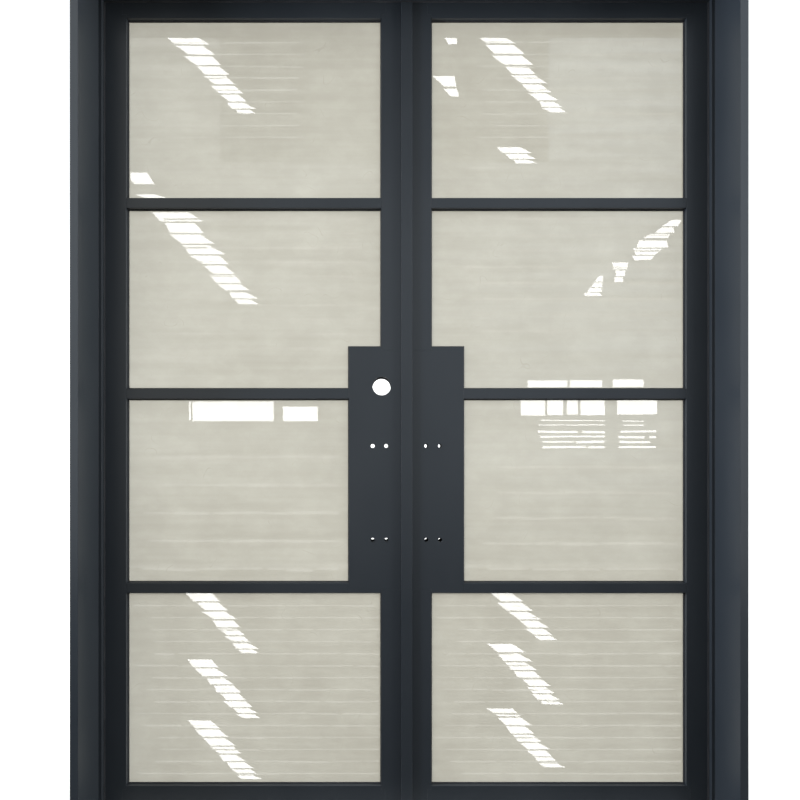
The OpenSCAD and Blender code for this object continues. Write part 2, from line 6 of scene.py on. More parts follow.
import bmesh
import bpy
import numpy as np
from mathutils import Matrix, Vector


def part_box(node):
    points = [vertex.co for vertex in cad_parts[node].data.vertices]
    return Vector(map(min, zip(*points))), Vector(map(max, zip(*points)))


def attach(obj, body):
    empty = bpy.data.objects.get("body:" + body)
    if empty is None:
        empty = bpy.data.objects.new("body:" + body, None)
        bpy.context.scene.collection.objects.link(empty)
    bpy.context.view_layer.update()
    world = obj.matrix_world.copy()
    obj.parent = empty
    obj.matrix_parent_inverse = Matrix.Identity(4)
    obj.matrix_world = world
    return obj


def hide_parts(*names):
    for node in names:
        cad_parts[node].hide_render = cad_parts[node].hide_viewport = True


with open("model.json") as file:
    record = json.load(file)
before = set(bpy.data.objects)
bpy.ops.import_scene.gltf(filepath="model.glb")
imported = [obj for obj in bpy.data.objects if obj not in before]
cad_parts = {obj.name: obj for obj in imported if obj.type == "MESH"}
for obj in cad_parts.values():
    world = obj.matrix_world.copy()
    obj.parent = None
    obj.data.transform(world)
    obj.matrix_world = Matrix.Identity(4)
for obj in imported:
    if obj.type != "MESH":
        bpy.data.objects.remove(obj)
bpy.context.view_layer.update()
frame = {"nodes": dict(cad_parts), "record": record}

# ---- Sizes, in metres ----

MM = 0.001
# Radius to which the edges of painted steel are eased.
EASED_EDGE = 1.5 * MM
# Glazing: space round a pane in its pocket, the steel lip, the rubber that shows, the bead.
GLASS_GAP = 3 * MM
LIP_W = 11 * MM
GASKET_SHOW = 3 * MM
BEAD_W = 11 * MM
# Radii, along the pane and in depth, of the roll at a front gasket's edge and of its tip.
LIP_ROLL = (2 * MM, 2.4 * MM)
LIP_TIP = (1 * MM, 0.5 * MM)
# How far a rear gasket bulges past its bead.
REAR_BULGE = 1 * MM
# Seals and screws: radius of a seal's bulb and thickness of its foot, height of a pan head,
# and a reach over a screw's length and under the gap between two screws.
BULB_R = 3 * MM
SEAL_FOOT = 1.1 * MM
HEAD_H = 1.5 * MM
SCREW_REACH = 20 * MM
# Hinges: length of a knuckle, its weld-on plate, and the fillet round the plate, which
# starts short of the plate's edge under the knuckle, clear of the bearing washers.
KNUCKLE_L = 49 * MM
PLATE_W = 18 * MM
PLATE_T = 3 * MM
WELD = 2.2 * MM
WELD_START = 5.5 * MM
WELD_RIPPLE = 3.2 * MM
WELD_STEP = 0.5 * MM

# ---- Light and camera ----

EYE = (-0.0975, -1.564, 1.097)
# Focal length and sensor width in millimetres, and the lens's shift as shares of that width.
LENS = 24.66
SENSOR_W = 36
LENS_SHIFT = (0.03375, 0.0625)
GLASS_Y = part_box("left_glass_1")[0][1]
WHITE = (1, 1, 1)
PAPER_GLOW = 0.42
SKY_BACK = (1.0, 1.0, 1.0)
BACK = [(-1, (0, 0, 0)), (1, (1, 1, 1))]
# Scale of the ribs' noise sideways, up and in depth.
RIB_STRETCH = (2.5, 45, 1)
# Sky levels by the sine of the height over the horizon.
SKY_HEIGHT = [(-1.0, (0.1, 0.1, 0.1)), (-0.35, (0.15, 0.15, 0.15)), (-0.15, (0.45, 0.45, 0.45)),
              (0.0, (1.0, 1.0, 1.0)), (0.27, (1.25, 1.25, 1.25)), (0.7, (1.2, 1.2, 1.2)),
              (1.0, (0.8, 0.8, 0.8))]
# The same by the share of the way to a side, from left to right.
SKY_SIDE = [(-1.0, (1.0, 1.0, 0.98)), (-0.45, (1.05, 1.07, 1.02)), (0.0, (0.62, 0.67, 0.70)),
            (0.45, (0.94, 1.06, 1.20)), (1.0, (0.95, 1.0, 1.1))]
# Softboxes: sizes of the level strips in front, which light only the panes, and of the
# upright strips at the sides, which light only the steel and its fittings.
LEVEL_STRIP = (4.0, 0.6)
UPRIGHT_STRIP = (0.6, 2.0)
# The level strips as height and watts; the upright ones as side, watts and tone.
PANE_LIGHTS = [(2.3, 72), (1.4, 4), (0.3, 66)]
SIDE_LIGHTS = [(-1, 330, (0.86, 0.95, 1.08)), (1, 260, (1.0, 1.0, 0.97))]
# Each card is its corners, as x, y and z, the light that it gives, and that of its back.
# The two side cards show only in the steel and its fittings.
CARDS = {
    "floor_card": (
        [(-3, -3.4, 0.01), (3, -3.4, 0.01), (3, -0.09, 0.01), (-3, -0.09, 0.01)], 0.04, 0.9
    ),
    "top_card": ([(-1.4, -3, 3.55), (-1.4, -3, 7), (1.4, -3, 7), (1.4, -3, 3.55)], 0.1, 0.1),
    "side_card_left": (
        [(-2.9, -1.2, 0.2), (-2.9, -0.1, 0.2), (-2.9, -0.1, 3), (-2.9, -1.2, 3)], 5, 5
    ),
    "side_card_right": (
        [(2.9, -1.2, 0.2), (2.9, -0.1, 0.2), (2.9, -0.1, 3), (2.9, -1.2, 3)], 5, 5
    ),
}
# Mirrored cards hang at this depth, or lie at this height where that would be under the floor.
CARD_Y = -2.8
CARD_FLOOR = 0.02
ROOF_LEVEL = 14.0
RIB_LEVEL = 1.9
# Share of a field that its strokes fill.
WET_FILL = 0.45
RIB_FILL = 0.12
# Roof lights: share of a slat's pitch that its bar takes, how fast slats grow shorter, and
# how far one may lie out of line, as a share of its width.
SLAT_BAR = 0.14
SLAT_SHORTENING = 1.25
SLAT_STRAY = 0.11
# Roof lights as they lie in the glass: both ends, each as left x, right x and z, and slats.
SKYLIGHTS = [
    ((-0.735, -0.640, 2.355), (-0.495, -0.440, 2.085), 10),
    ((-0.830, -0.755, 1.915), (-0.790, -0.740, 1.875), 1),
    ((-0.795, -0.725, 1.850), (-0.780, -0.715, 1.838), 1),
    ((-0.750, -0.640, 1.800), (-0.495, -0.435, 1.525), 10),
    ((-0.645, -0.570, 0.675), (-0.485, -0.430, 0.495), 8),
    ((-0.645, -0.570, 0.480), (-0.485, -0.430, 0.305), 8),
    ((-0.645, -0.570, 0.300), (-0.485, -0.430, 0.125), 8),
    ((0.170, 0.270, 2.355), (0.420, 0.470, 2.090), 10),
    ((0.265, 0.350, 1.990), (0.325, 0.380, 1.940), 3),
    ((0.085, 0.150, 2.355), (0.130, 0.150, 2.290), 2),
    ((0.085, 0.150, 2.200), (0.130, 0.150, 2.135), 2),
    ((0.245, 0.320, 0.675), (0.390, 0.445, 0.535), 6),
    ((0.245, 0.320, 0.525), (0.405, 0.460, 0.345), 8),
    ((0.245, 0.320, 0.335), (0.405, 0.460, 0.160), 8),
    ((0.780, 0.815, 1.775), (0.700, 0.770, 1.720), 3),
    ((0.680, 0.790, 1.715), (0.665, 0.715, 1.655), 3),
    ((0.610, 0.665, 1.650), (0.615, 0.635, 1.590), 3),
    ((0.570, 0.582, 1.610), (0.520, 0.575, 1.550), 4),
]
# Windows as left x, right x, low z and high z.
WINDOWS = [
    (-0.640, -0.635, 1.185, 1.240), (-0.630, -0.390, 1.182, 1.240), (-0.363, -0.260, 1.182, 1.225),
    (0.358, 0.475, 1.282, 1.302), (0.483, 0.578, 1.282, 1.302), (0.610, 0.700, 1.282, 1.305),
    (0.338, 0.410, 1.198, 1.245), (0.416, 0.463, 1.200, 1.245), (0.474, 0.506, 1.202, 1.245),
    (0.514, 0.586, 1.200, 1.245), (0.622, 0.740, 1.202, 1.245),
]
# Light on a wet floor, as fields of left x, right x, low z, high z and number of strokes.
WET_FLOOR = [
    (0.385, 0.586, 1.108, 1.154, 4), (0.622, 0.737, 1.108, 1.154, 4),
    (0.375, 0.586, 1.172, 1.186, 2), (0.632, 0.700, 1.172, 1.184, 2),
]
# Faint lit ribs of the roof, and of its mirror in the floor, as the same kind of fields.
ROOF_RIBS = [
    (-0.81, -0.30, 2.02, 2.30, 9), (-0.81, -0.10, 1.93, 1.96, 1), (-0.81, -0.12, 1.40, 1.78, 10),
    (0.20, 0.81, 2.02, 2.30, 9), (0.08, 0.81, 1.93, 1.96, 1), (0.15, 0.81, 1.45, 1.78, 8),
    (-0.62, -0.42, 1.13, 1.165, 3), (-0.34, -0.28, 1.15, 1.165, 1), (-0.80, -0.20, 0.75, 1.08, 5),
    (0.22, 0.80, 0.75, 1.05, 5), (-0.81, -0.08, 0.11, 0.64, 16), (0.08, 0.81, 0.11, 0.64, 16),
]


# ---- Shader maths ----


class Wire:
    """A node's output socket. Arithmetic on it adds Math nodes to the same tree."""

    def __init__(self, nodes, socket):
        self.nodes = nodes
        self.socket = socket

    def _math(self, operation, first, second=None, clamp=False):
        inputs = {0: first} if second is None else {0: first, 1: second}
        settings = {"operation": operation, "use_clamp": clamp}
        return self.nodes.node("ShaderNodeMath", settings, inputs)

    def __add__(self, other):
        return self._math("ADD", self, other)

    def __mul__(self, other):
        return self._math("MULTIPLY", self, other)

    def __sub__(self, other):
        return self._math("SUBTRACT", self, other)

    def __rsub__(self, other):
        return self._math("SUBTRACT", other, self)

    def __truediv__(self, other):
        return self._math("DIVIDE", self, other)

    __radd__ = __add__
    __rmul__ = __mul__

    def between(self, low, high):
        """0 under low, 1 over high, and even between them."""
        return self._math("MULTIPLY", self - low, 1 / (high - low), clamp=True)

    def unsigned(self):
        """The value without its sign."""
        return self._math("ABSOLUTE", self)


class Nodes:
    """A node tree, and the one way in which a node is added to it."""

    def __init__(self, tree):
        self.tree = tree

    def node(self, kind, settings=None, inputs=None, output=0):
        """Adds a node: its settings first, then a value or a link for each socket."""
        made = self.tree.nodes.new(kind)
        for key, value in (settings or {}).items():
            if key == "stops":
                self.set_stops(made.color_ramp, value)
            else:
                setattr(made, key, value)
        for key, value in (inputs or {}).items():
            self.feed(made.inputs[key], value)
        return Wire(self, made.outputs[output])

    def set_stops(self, ramp, stops):
        """Eased stops of a ramp: the first lies at 0, the last at 1, the others between."""
        ramp.interpolation = "EASE"
        first, *between, last = stops
        ramp.elements[0].color = (*first[1], 1)
        ramp.elements[1].color = (*last[1], 1)
        for at, colour in between:
            ramp.elements.new(at).color = (*colour, 1)

    def feed(self, socket, value):
        """Links a wire to a socket, or sets the socket's value; a colour is made opaque."""
        if isinstance(value, Wire):
            self.tree.links.new(value.socket, socket)
        elif socket.type == "RGBA":
            socket.default_value = (*value, 1)
        else:
            socket.default_value = value

    def mix(self, factor, first, second, blend="MIX"):
        """Two colours mixed by a factor, or blended in another way."""
        inputs = {0: factor, 6: first, 7: second}
        return self.node("ShaderNodeMix", {"data_type": "RGBA", "blend_type": blend}, inputs, 2)


class Finish(Nodes):
    """One material with its node tree, seen in metres on the object."""

    def __init__(self, name):
        self.material = bpy.data.materials.new(name)
        self.material.use_nodes = True
        super().__init__(self.material.node_tree)
        self.shader = self.tree.nodes["Principled BSDF"]
        self.place = self.node("ShaderNodeTexCoord", output="Object")

    def scaled(self, scale):
        """The place on the object, multiplied along each axis."""
        return self.node("ShaderNodeMapping", None, {"Vector": self.place, "Scale": scale})

    def noise(self, size, detail=2.0, roughness=0.5, stretch=(1, 1, 1)):
        """Noise from 0 to 1 whose blobs are size metres across, longer where stretch is over 1."""
        where = self.scaled([1 / (size * s) for s in stretch])
        inputs = {"Vector": where, "Scale": 1.0, "Detail": detail, "Roughness": roughness}
        return self.node("ShaderNodeTexNoise", None, inputs, "Fac")

    def bump(self, height, distance, strength=1.0, edge=None):
        """Bumps of a height, on edges eased to a radius where one is given."""
        inputs = {"Height": height, "Distance": distance, "Strength": strength}
        if edge is not None:
            inputs["Normal"] = self.node("ShaderNodeBevel", {"samples": 4}, {"Radius": edge})
        return self.node("ShaderNodeBump", None, inputs)

    def surface(self, **sockets):
        """Feeds the shader's sockets, each named with _ for a space; gives the material."""
        for key, value in sockets.items():
            self.feed(self.shader.inputs[key.replace("_", " ")], value)
        return self.material


# ---- Finishes ----


def graphite_paint():
    """Satin powder coat: orange peel under it, faint dust in broad clouds over it."""
    f = Finish("graphite_paint")
    peel = f.noise(0.0016, 2.0, 0.45)
    clouds = f.noise(0.22, 4.0, 0.55, (1, 1, 2.2)).between(0.35, 0.75)
    grit = f.noise(0.004, 3.0, 0.6).between(0.55, 0.8)
    dust = clouds * 0.5 + grit * 0.25
    return f.surface(
        Base_Color=f.mix(dust, (0.0125, 0.0150, 0.0180), (0.0190, 0.0215, 0.0245)),
        Roughness=0.36 + clouds * 0.06 + grit * 0.05,
        IOR=1.5,
        Normal=f.bump(peel, 0.00006, 0.5, EASED_EDGE),
    )


def filmed_glass():
    """Float glass with a pale film over it, with smears and a few creases; soft level bands in its
    colour are a painted reflection of the ribbed roof.
    """
    f = Finish("filmed_glass")
    # Painted reflection: soft level bands of the ribbed roof, painted into the film's colour.
    roof_reflection_bands = f.noise(0.034, 2.0, 0.45, (12, 1, 0.5)).between(0.3, 0.7)
    patches = f.noise(0.35, 2.0, 0.5, (0.6, 1, 1.2)).between(0.3, 0.7)
    smears = f.noise(0.06, 4.0, 0.65, (1.3, 1, 0.8)).between(0.42, 0.70)
    ridge = (f.noise(0.10, 1.0, 0.5) - 0.5).unsigned()
    creases = (1 - ridge.between(0.0, 0.006)) * smears.between(0.45, 0.8)
    # The film's patches, smears and creases, together with the painted reflection of the roof's
    # bands.
    film_and_roof_reflection = roof_reflection_bands * 0.25 + patches * 0.4 + smears * 0.35 - creases * 0.7
    ripple = f.noise(0.09, 1.0, 0.4, (3, 1, 0.7))
    return f.surface(
        Base_Color=f.mix(film_and_roof_reflection, (0.455, 0.430, 0.360), (0.560, 0.536, 0.458)),
        Roughness=0.0,
        IOR=1.5,
        Transmission_Weight=0.25,
        Normal=f.bump(ripple, 0.00012, 0.25),
    )


def black_rubber():
    """Matt extruded rubber with bloom in streaks along it."""
    f = Finish("black_rubber")
    bloom = f.noise(0.012, 3.0, 0.6, (4, 1, 4)).between(0.4, 0.8)
    return f.surface(
        Base_Color=f.mix(bloom, (0.010, 0.010, 0.011), (0.022, 0.022, 0.023)),
        Roughness=0.55 + bloom * 0.2,
        Normal=f.bump(f.noise(0.0008, 1.0), 0.00005, 0.4),
    )


def brushed_aluminium(name, brush):
    """Anodised extrusion with die lines along it; brush is the stretch of the lines."""
    f = Finish(name)
    lines = f.noise(0.0010, 2.0, 0.6, brush)
    wear = f.noise(0.05, 3.0, 0.6).between(0.45, 0.75)
    return f.surface(
        Base_Color=f.mix(lines * 0.6 + wear * 0.3, (0.56, 0.57, 0.58), (0.70, 0.70, 0.69)),
        Metallic=1.0,
        Roughness=0.32 + lines * 0.10 + wear * 0.08,
        Normal=f.bump(lines, 0.00003, 0.5),
    )


def plated_steel():
    """Bright zinc over turned steel, slightly clouded."""
    f = Finish("plated_steel")
    cloud = f.noise(0.008, 3.0, 0.6).between(0.35, 0.75)
    lines = f.noise(0.0006, 1.0, 0.5, (1, 1, 0.3))
    return f.surface(
        Base_Color=f.mix(cloud, (0.48, 0.49, 0.51), (0.62, 0.62, 0.60)),
        Metallic=1.0,
        Roughness=0.28 + cloud * 0.14,
        Normal=f.bump(lines, 0.00002, 0.4),
    )


def bearing_bronze():
    """Oiled bronze, darker in patches."""
    f = Finish("bearing_bronze")
    patina = f.noise(0.003, 3.0, 0.6).between(0.4, 0.7)
    return f.surface(
        Base_Color=f.mix(patina, (0.55, 0.36, 0.17), (0.30, 0.19, 0.10)),
        Metallic=1.0,
        Roughness=0.3 + patina * 0.2,
    )


FINISHES = {
    "graphite_paint": graphite_paint(),
    "glass": filmed_glass(),
    "black_rubber": black_rubber(),
    "spacer_aluminium": brushed_aluminium("spacer_aluminium", (6, 1, 6)),
    "threshold_aluminium": brushed_aluminium("threshold_aluminium", (60, 1, 1)),
    "bare_steel": plated_steel(),
    "bronze": bearing_bronze(),
}


def finish_nodes():
    """Gives every CAD node the finish of its own material slot."""
    for part in frame["record"]["subparts"]:
        node = frame["nodes"][part["node"]]
        for slot in node.material_slots:
            slot.material = FINISHES[part["material_slot"]]


# ---- Fine pieces ----


def surface_piece(name, slot, body, grids, replaced=(), smooth_angle=35):
    """One object of several grids of points. A grid is an array of rings by points by 3,
    with whether its rings close on the first, whether its points do, and whether its first
    and last rings are filled."""
    points, faces, start = [], [], 0
    for grid, rings_close, points_close, filled in grids:
        rings, count = grid.shape[:2]
        points.append(grid.reshape(-1, 3))
        i = np.arange(rings if rings_close else rings - 1)[:, None]
        j = np.arange(count if points_close else count - 1)[None, :]
        next_i, next_j = (i + 1) % rings, (j + 1) % count
        quads = np.stack(
            [i * count + j, i * count + next_j, next_i * count + next_j, next_i * count + j], -1
        )
        faces += (start + quads.reshape(-1, 4)).tolist()
        if filled:
            faces.append((start + np.arange(count)[::-1]).tolist())
            faces.append((start + (rings - 1) * count + np.arange(count)).tolist())
        start += rings * count
    mesh = bpy.data.meshes.new(name)
    mesh.from_pydata(np.concatenate(points).tolist(), [], faces)
    mesh.validate()
    made = bmesh.new()
    made.from_mesh(mesh)
    bmesh.ops.remove_doubles(made, verts=made.verts, dist=1e-7)
    bmesh.ops.recalc_face_normals(made, faces=made.faces)
    made.to_mesh(mesh)
    made.free()
    mesh.shade_smooth()
    mesh.set_sharp_from_angle(angle=math.radians(smooth_angle))
    mesh.materials.append(FINISHES[slot])
    piece = bpy.data.objects.new(name, mesh)
    bpy.context.collection.objects.link(piece)
    paintwork.objects.link(piece)
    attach(piece, body)
    if replaced:
        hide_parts(*replaced)
    return piece


def arc(centre, radius, first, last, count):
    """Points on an ellipse round a centre, from one angle in degrees to another."""
    angle = np.radians(np.linspace(first, last, count))
    return np.array(centre) + np.stack([np.cos(angle), np.sin(angle)], -1) * radius


def pocket(leaf, pane):
    """The corners, as x and z, of the pocket that holds a pane. The second pane's pocket
    goes round the lock box, whose corner lies where the upper stile and a muntin end."""
    low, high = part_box(f"{leaf}_glass_{pane}")
    x0, x1 = low[0] - GLASS_GAP, high[0] + GLASS_GAP
    z0, z1 = low[2] - GLASS_GAP, high[2] + GLASS_GAP
    if pane != 2:
        return np.array([(x0, z0), (x1, z0), (x1, z1), (x0, z1)])
    step_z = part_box(f"{leaf}_upper_stile")[0][2]
    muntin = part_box(f"{leaf}_muntin_2")
    if leaf == "left":
        step_x = muntin[1][0]
        return np.array(
            [(x0, z0), (step_x, z0), (step_x, step_z), (x1, step_z), (x1, z1), (x0, z1)]
        )
    step_x = muntin[0][0]
    return np.array([(step_x, z0), (x1, z0), (x1, z1), (x0, z1), (x0, step_z), (step_x, step_z)])


def ring(corners, profile):
    """Carries a profile round a pocket: a point of it lies its own distance in from every
    side, so at a corner it moves in along both sides' normals at once."""
    after = np.roll(corners, -1, axis=0) - corners
    after /= np.linalg.norm(after, axis=1)[:, None]
    inward = np.stack([-after[:, 1], after[:, 0]], -1)
    corner_way = inward + np.roll(inward, 1, axis=0)
    place = corners[:, None, :] + profile[None, :, :1] * corner_way[:, None, :]
    depth = np.broadcast_to(profile[None, :, 1], place.shape[:2])
    return np.stack([place[..., 0], depth, place[..., 1]], -1)


def gaskets(leaf):
    """Rubber on both faces of the sealed panes, its free edge rolled over and thinned."""
    low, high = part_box(f"{leaf}_gaskets")
    glass_low, glass_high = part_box(f"{leaf}_glass_1")
    y0, y1 = low[1], glass_low[1]
    edge = LIP_W + GASKET_SHOW
    front = np.concatenate([
        [(GLASS_GAP, y1), (GLASS_GAP, y0)],
        arc((edge - LIP_ROLL[0], y0 + LIP_ROLL[1]), LIP_ROLL, -90, 0, 7),
        arc((edge - LIP_TIP[0], y1 - LIP_TIP[1]), LIP_TIP, 0, 90, 4),
    ])
    y2, y3 = glass_high[1], high[1]
    rear = np.concatenate([
        [(GLASS_GAP, y3), (GLASS_GAP, y2)],
        arc((BEAD_W, (y2 + y3) / 2), (REAR_BULGE, (y3 - y2) / 2), -90, 90, 7),
    ])
    grids = [
        (ring(pocket(leaf, pane), profile), True, True, False)
        for pane in (1, 2, 3, 4)
        for profile in (front, rear)
    ]
    surface_piece(f"{leaf}_rolled_gaskets", "black_rubber", f"{leaf}_leaf", grids,
                  [f"{leaf}_gaskets"])


def bulb_profile(reach, thick):
    """A thin flat foot that ends in a bulb: part of an ellipse, then two points of the foot.
    Its first number runs from the bulb's free edge, its second off the stop."""
    bulb = arc((BULB_R, thick / 2), (BULB_R, thick / 2), 65, 290, 15)
    return np.concatenate([bulb, [(reach, 0.0), (reach, SEAL_FOOT)]])


def bulb_seals():
    """Bulb seals behind the stops of both jambs and the head, each one straight length."""
    for node in ("left_seal", "right_seal", "head_seal"):
        low, high = (np.array(v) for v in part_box(node))
        level = node == "head_seal"
        across, along = (2, 0) if level else (0, 2)
        profile = bulb_profile(high[across] - low[across], high[1] - low[1])
        rings = np.zeros((2, len(profile), 3))
        rings[..., across] = low[across] + profile[:, 0]
        if node == "left_seal":
            rings[..., across] = high[across] - profile[:, 0]
        rings[..., 1] = low[1] + profile[:, 1]
        rings[0, :, along], rings[1, :, along] = low[along], high[along]
        surface_piece(f"{node}_bulb", "black_rubber", "frame", [(rings, False, True, True)], [node])


def screw_head(across, centre):
    """A pan head with a cross recess: height over the seat is a flattened dome, less a cup
    along both arms of the cross. across is the head's radius."""
    # Rings from the middle out, as shares of the radius. The last one drops to the seat.
    steps = np.array([0.0, 0.14, 0.26, 0.42, 0.56, 0.66, 0.84, 0.95, 1.0, 1.0])
    angle = np.linspace(0, 2 * math.pi, 32, endpoint=False)
    r, a = np.meshgrid(steps, angle, indexing="ij")
    x, y = r * np.cos(a), r * np.sin(a)
    height = HEAD_H * np.sqrt(np.clip(1.0 - 0.75 * r ** 2, 0, 1))
    arm = np.minimum(np.abs(x), np.abs(y))
    cup = np.clip(1 - (arm / 0.17) ** 4, 0, 1) * np.clip(1 - (r / 0.62) ** 6, 0, 1)
    height -= 0.55 * HEAD_H * cup
    height[-1] = 0.0
    return np.stack([x * across, y * across, height], -1) + centre


def bead_screws(leaf):
    """Screws through the glazing beads, each where the frame has one, with its head turned
    by a different angle."""
    node = frame["nodes"][f"{leaf}_bead_screws"]
    spots = np.empty(len(node.data.vertices) * 3)
    node.data.vertices.foreach_get("co", spots)
    spots = spots.reshape(-1, 3)
    grids = []
    turn = np.random.default_rng(5)
    while len(spots):
        near = np.linalg.norm(spots - spots[0], axis=1) < SCREW_REACH
        mine, spots = spots[near], spots[~near]
        low, high = mine.min(0), mine.max(0)
        axis = int(np.argmax(high - low))
        sides = [k for k in range(3) if k != axis]
        middle = (low + high) / 2
        off = np.linalg.norm(mine[:, sides] - middle[sides], axis=1)
        radius = off.max()
        rim = mine[off > 0.9 * radius][:, axis]
        way = 1.0 if rim.mean() > middle[axis] else -1.0
        seat = rim.min() if way > 0 else rim.max()
        shape = screw_head(radius, 0.0)
        angle = turn.uniform(0, math.pi)
        c, s = math.cos(angle), math.sin(angle)
        placed = np.zeros_like(shape)
        placed[..., sides[0]] = middle[sides[0]] + c * shape[..., 0] - s * shape[..., 1]
        placed[..., sides[1]] = middle[sides[1]] + s * shape[..., 0] + c * shape[..., 1]
        placed[..., axis] = seat + way * shape[..., 2]
        grids.append((placed, False, True, False))
        # The head's flat underside, closed at its middle.
        base = placed[-1:]
        foot = np.broadcast_to(base.mean(1, keepdims=True), base.shape)
        grids.append((np.concatenate([base, foot]), False, True, False))
    surface_piece(f"{leaf}_pan_head_screws", "bare_steel", f"{leaf}_leaf", grids,
                  [f"{leaf}_bead_screws"], 50)


def weld_path(plate_low, plate_high, knuckle_side):
    """Points round three sides of a hinge plate, from the knuckle round and back to it, as
    x and z, with the way out of the plate at each. Corners are quarter circles of ways."""
    x_far, x_near = plate_low[0], plate_high[0]
    if knuckle_side < 0:
        x_far, x_near = x_near, x_far
    z0, z1 = plate_low[2], plate_high[2]
    out = -knuckle_side
    legs = [
        ((x_near, z0), (x_far, z0), -90),
        ((x_far, z0), (x_far, z1), 0),
        ((x_far, z1), (x_near, z1), 90),
    ]
    place, way = [], []
    for index, (a, b, angle) in enumerate(legs):
        length = math.dist(a, b)
        count = max(3, int(length / WELD_STEP))
        share = np.linspace(0, 1, count)[:, None]
        place.append(np.array(a) * (1 - share) + np.array(b) * share)
        way.append(np.full(count, float(angle)))
        if index < 2:
            turn = np.linspace(angle, angle + 90, 8)[1:-1]
            place.append(np.tile(b, (len(turn), 1)))
            way.append(turn)
    way = np.radians(np.concatenate(way))
    return np.concatenate(place), np.stack([out * np.cos(way), np.sin(way)], -1)


def hinge_welds(name, body, node, knuckle_side):
    """Fillet welds: a rounded bead in the corner between plate and steel, whose size swells
    and sinks once for each ripple along it."""
    low, high = (np.array(v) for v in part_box(node))
    half = KNUCKLE_L / 2
    middle = (low[2] + high[2]) / 2
    grids = []
    for z in (low[2] + half, middle, high[2] - half):
        x_outer = high[0] if knuckle_side < 0 else low[0]
        x_inner = x_outer + knuckle_side * (PLATE_W - WELD_START)
        plate_low = np.array([min(x_outer, x_inner), low[1], z - half])
        plate_high = np.array([max(x_outer, x_inner), low[1] + PLATE_T, z + half])
        place, way = weld_path(plate_low, plate_high, knuckle_side)
        step = np.linalg.norm(np.diff(place, axis=0), axis=1)
        run = np.concatenate([[0], np.cumsum(step)])
        size = WELD * (0.90 + 0.10 * np.abs(np.sin(math.pi * run / WELD_RIPPLE)))
        size[[0, -1]] *= 0.5
        # The bead's section: a quarter circle, with its root sunk a little into both steels.
        bead = arc((0, 0), (1, 1), 90, 0, 6)
        section = np.concatenate([[(-0.12, 0.9)], bead, [(0.9, -0.05), (-0.12, -0.05)]])
        out = section[None, :, :1] * size[:, None, None] * way[:, None, :]
        rise = section[None, :, 1] * np.minimum(size[:, None], PLATE_T)
        grid = np.stack(
            [place[:, None, 0] + out[..., 0], low[1] + rise, place[:, None, 1] + out[..., 1]], -1
        )
        grids.append((grid, False, True, True))
    surface_piece(name, "graphite_paint", body, grids, smooth_angle=60)


def fine_pieces():
    """All the pieces that stand in for plain CAD ones, and the welds that are added."""
    bulb_seals()
    for leaf, knuckle_side in (("left", -1), ("right", 1)):
        gaskets(leaf)
        bead_screws(leaf)
        hinge_welds(f"{leaf}_leaf_welds", f"{leaf}_leaf", f"{leaf}_leaf_knuckles", knuckle_side)
        hinge_welds(f"{leaf}_frame_welds", "frame", f"{leaf}_frame_knuckles", -knuckle_side)


# ---- Studio ----


def stage_mesh(name, points, faces, material):
    """A mesh that is part of the studio and not of the doors."""
    mesh = bpy.data.meshes.new(name)
    mesh.from_pydata([tuple(p) for p in points], [], faces)
    mesh.materials.append(material)
    piece = bpy.data.objects.new(name, mesh)
    bpy.context.collection.objects.link(piece)
    return piece


def paper():
    """White studio paper; behind the doors it glows a little, so that it stays white there."""
    f = Finish("studio_paper")
    depth = f.node("ShaderNodeSeparateXYZ", None, {0: f.place}, "Y")
    behind = depth.between(0.0, 0.6)
    return f.surface(
        Base_Color=(0.82, 0.82, 0.81),
        Roughness=0.9,
        Specular_IOR_Level=0.1,
        Emission_Color=(1, 0.99, 0.97),
        Emission_Strength=behind * PAPER_GLOW,
    )


def backdrop(y_front, y_back, half, height, bend):
    """Paper sweep: a floor, a quarter circle of radius bend at the back, then a wall."""
    angle = np.linspace(0, math.pi / 2, 25)
    y = np.concatenate([[y_front], y_back - bend + bend * np.sin(angle), [y_back]])
    z = np.concatenate([[0.0], bend - bend * np.cos(angle), [height]])
    count = len(y)
    points = [(side * half, y[i], z[i]) for side in (-1, 1) for i in range(count)]
    faces = [(i, count + i, count + i + 1, i + 1) for i in range(count - 1)]
    sweep = stage_mesh("paper_sweep", points, faces, paper())
    for polygon in sweep.data.polygons:
        polygon.use_smooth = True


def roof_ribs(world, x, y, z):
    """Level ribs across the sky in front, straight as a ribbed roof is in a mirror: noise
    over the slopes x / y and z / y, drawn out sideways."""
    slopes = world.node("ShaderNodeCombineXYZ", None, {"X": x / y, "Y": z / y})
    inputs = {"Vector": slopes, "Scale": RIB_STRETCH}
    drawn_out = world.node("ShaderNodeMapping", None, inputs)
    inputs = {"Vector": drawn_out, "Scale": 1.0, "Detail": 1.5}
    ribs = world.node("ShaderNodeTexNoise", None, inputs, "Fac")
    return ribs.between(0.3, 0.7) * 0.8 + 0.6


def sky():
    """Soft surround: bright from the horizon up in front, more so to the sides, dim below.
    It's even behind the doors, and wherever the camera sees it without a mirror."""
    scene_world = bpy.data.worlds.new("studio")
    scene_world.use_nodes = True
    bpy.context.scene.world = scene_world
    world = Nodes(scene_world.node_tree)
    way = world.node("ShaderNodeTexCoord", output="Generated")
    x, y, z = (world.node("ShaderNodeSeparateXYZ", None, {0: way}, axis) for axis in "XYZ")
    height = ramp(world, z.between(-1, 1), SKY_HEIGHT)
    side = ramp(world, x.between(-1, 1), SKY_SIDE)
    back = ramp(world, y.between(-0.25, 0.25), BACK)
    front = world.mix(1.0, height, side, "MULTIPLY")
    front = world.mix(1.0, front, roof_ribs(world, x, y, z), "MULTIPLY")
    whole = world.mix(back, front, SKY_BACK)
    seen = world.node("ShaderNodeLightPath", output="Is Camera Ray")
    whole = world.mix(seen, whole, SKY_BACK)
    world.feed(world.tree.nodes["Background"].inputs["Color"], whole)


